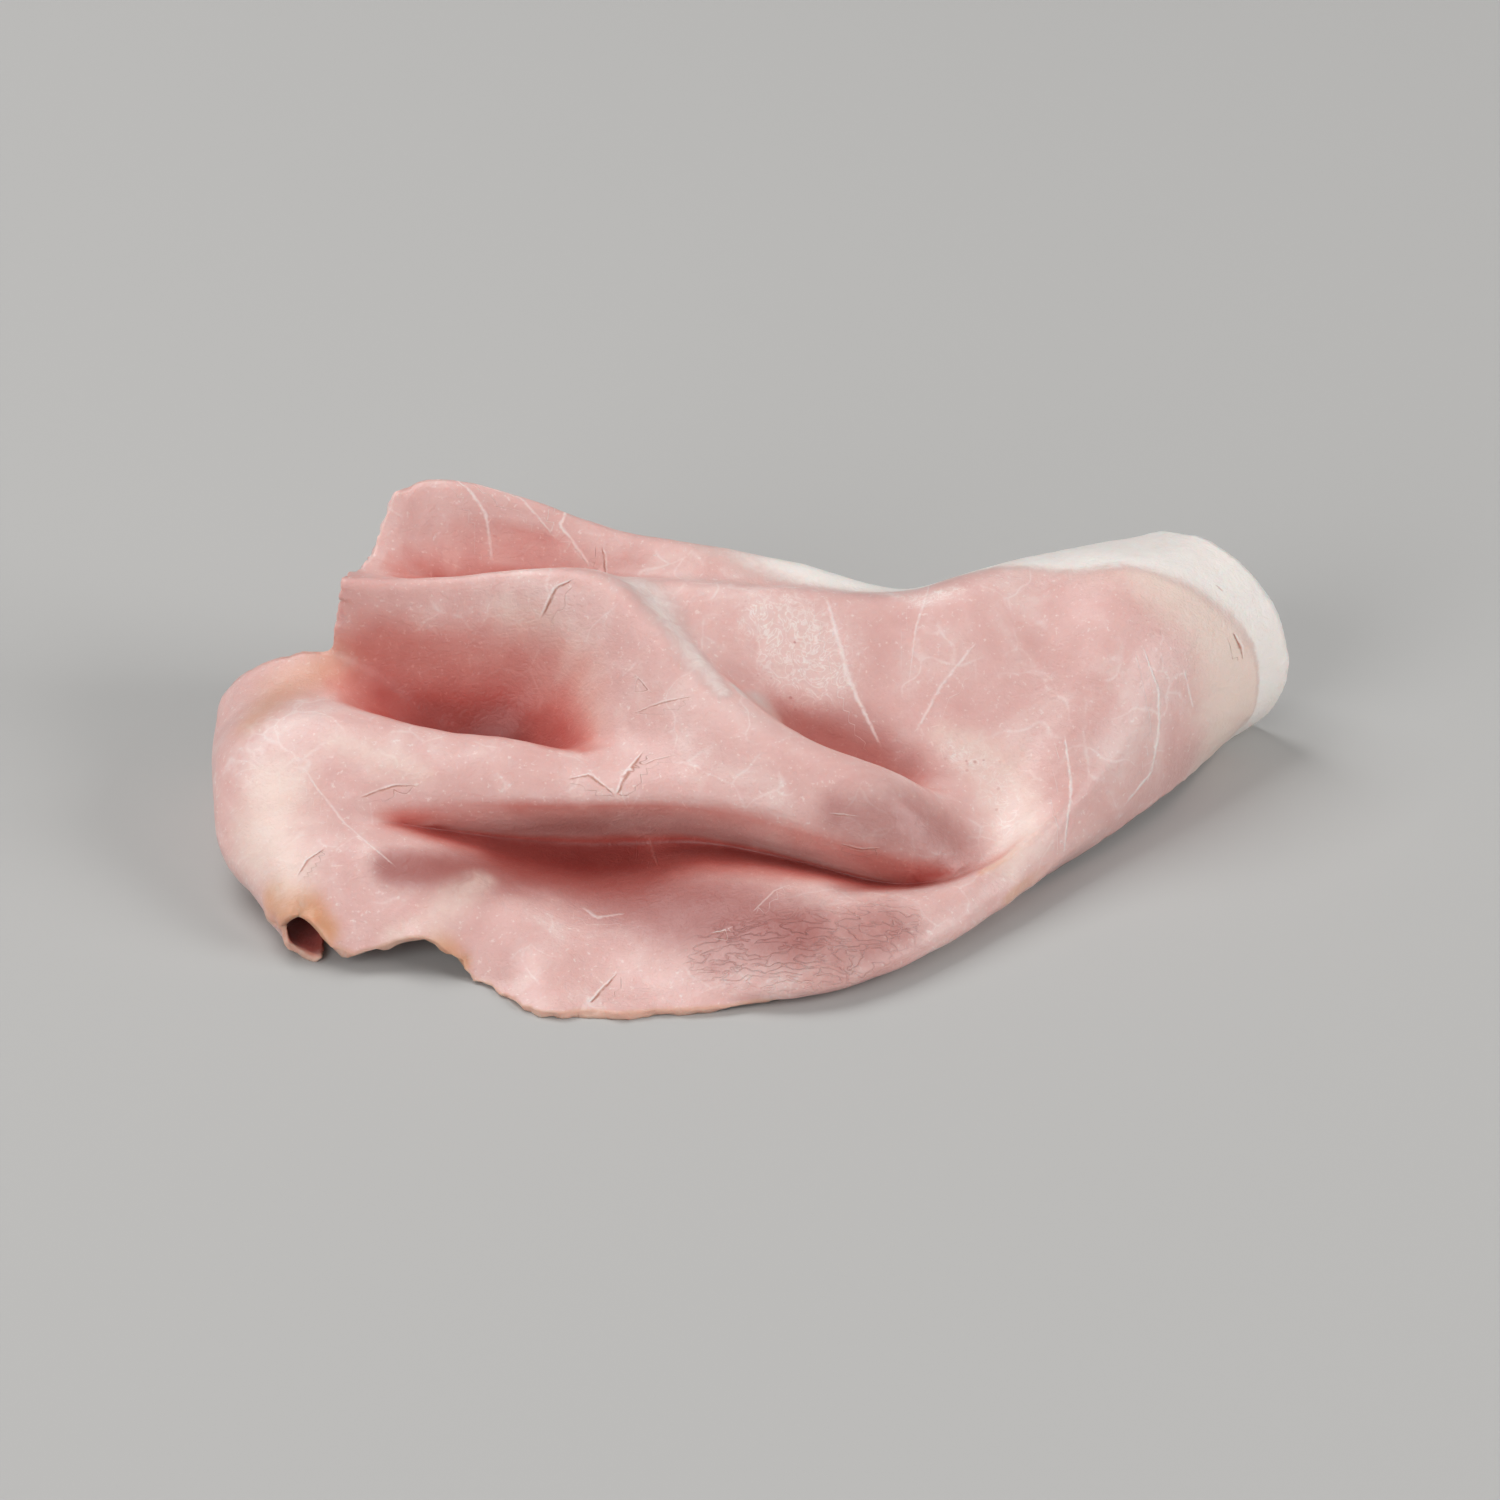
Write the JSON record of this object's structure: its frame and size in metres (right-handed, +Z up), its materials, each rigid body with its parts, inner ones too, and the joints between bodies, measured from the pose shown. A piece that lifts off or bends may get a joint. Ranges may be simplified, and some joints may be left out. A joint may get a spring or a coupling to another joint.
{
  "type": "slice of cooked ham",
  "caption": "Thin slice of cooked ham, crumpled into soft ruffles, with a rolled right end, a loose ragged front edge and a rim of white fat.",
  "frame": {"origin": "centre of the slice's footprint, on the surface it rests on", "axes": "+X along the crumpled slice from its curled left end to its rolled right end, -Y towards the loose ragged edge, +Z up"},
  "size_m": [0.1478, 0.0912, 0.0396],
  "materials": {
    "ham_meat": "moist satin, pale pink lean with creamy white fat"
  },
  "bodies": {
    "root": {"ham_slice": "ham_meat"}
  },
  "joints": []
}
